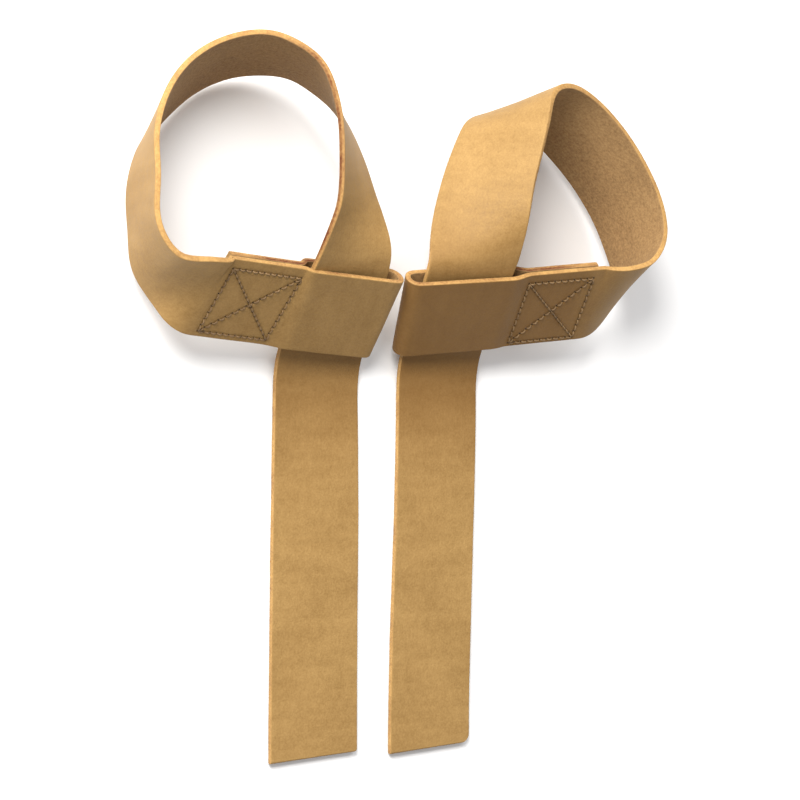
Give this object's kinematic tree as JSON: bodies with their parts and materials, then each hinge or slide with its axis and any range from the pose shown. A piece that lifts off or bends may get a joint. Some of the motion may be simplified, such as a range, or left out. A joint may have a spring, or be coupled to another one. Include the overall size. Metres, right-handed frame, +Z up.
{
  "type": "leather lifting straps",
  "caption": "Pair of plain tan leather lifting straps: each strip threads through its own box-stitched sleeve to make a wrist loop and a free tail to wind around a bar.",
  "frame": {"origin": "middle of the pair on the table it lies on", "axes": "+X to the right, +Y up along the tails toward the wrist loops, +Z up from the table"},
  "size_m": [0.2283, 0.2685, 0.0503],
  "materials": {
    "leather": "matte vegetable-tanned, grain side out",
    "needle_thread": "waxed thread",
    "bobbin_thread": "waxed thread"
  },
  "bodies": {
    "left_sleeve": {"left_sleeve": "leather", "left_loop": "leather", "left_needle_thread": "needle_thread", "left_bobbin_thread": "bobbin_thread"},
    "left_strand": {"left_strand": "leather"},
    "left_tail_bend": {"left_tail_bend": "leather"},
    "left_tail": {"left_tail": "leather"},
    "right_sleeve": {"right_sleeve": "leather", "right_loop": "leather", "right_needle_thread": "needle_thread", "right_bobbin_thread": "bobbin_thread"},
    "right_strand": {"right_strand": "leather"},
    "right_tail_bend": {"right_tail_bend": "leather"},
    "right_tail": {"right_tail": "leather"}
  },
  "joints": [
    {"name": "left_loop_size", "type": "slide", "parent": "left_sleeve", "child": "left_strand", "axis": [0, 0.7547, 0.6561], "range_m": [-0.004, 0.008], "deforming": ["left_strand"]},
    {"name": "left_tail_feed", "type": "slide", "parent": "left_strand", "child": "left_tail_bend", "axis": [0, 0.3502, -0.9367], "range_m": [-0.0029, 0.0057], "deforming": ["left_tail_bend"]},
    {"name": "left_tail_flex", "type": "hinge", "parent": "left_tail_bend", "child": "left_tail", "pos_m": [-0.0253, -0.0225, 0.0024], "axis": [-1, 0, 0], "range_deg": [0, 80]},
    {"name": "right_strap_lift", "type": "slide", "parent": "left_sleeve", "child": "right_sleeve", "axis": [0, 0, 1], "range_m": [0, 0.15]},
    {"name": "right_loop_size", "type": "slide", "parent": "right_sleeve", "child": "right_strand", "axis": [0, 0.7547, 0.6561], "range_m": [-0.004, 0.008], "deforming": ["right_strand"]},
    {"name": "right_tail_feed", "type": "slide", "parent": "right_strand", "child": "right_tail_bend", "axis": [0, 0.3502, -0.9367], "range_m": [-0.0029, 0.0057], "deforming": ["right_tail_bend"]},
    {"name": "right_tail_flex", "type": "hinge", "parent": "right_tail_bend", "child": "right_tail", "pos_m": [0.0298, -0.0225, 0.0024], "axis": [-1, 0, 0], "range_deg": [0, 80]}
  ],
  "couplings": [
    {"joint": "left_tail_feed", "follows": "left_loop_size", "ratio": 0.70041},
    {"joint": "right_tail_feed", "follows": "right_loop_size", "ratio": 0.70041}
  ]
}
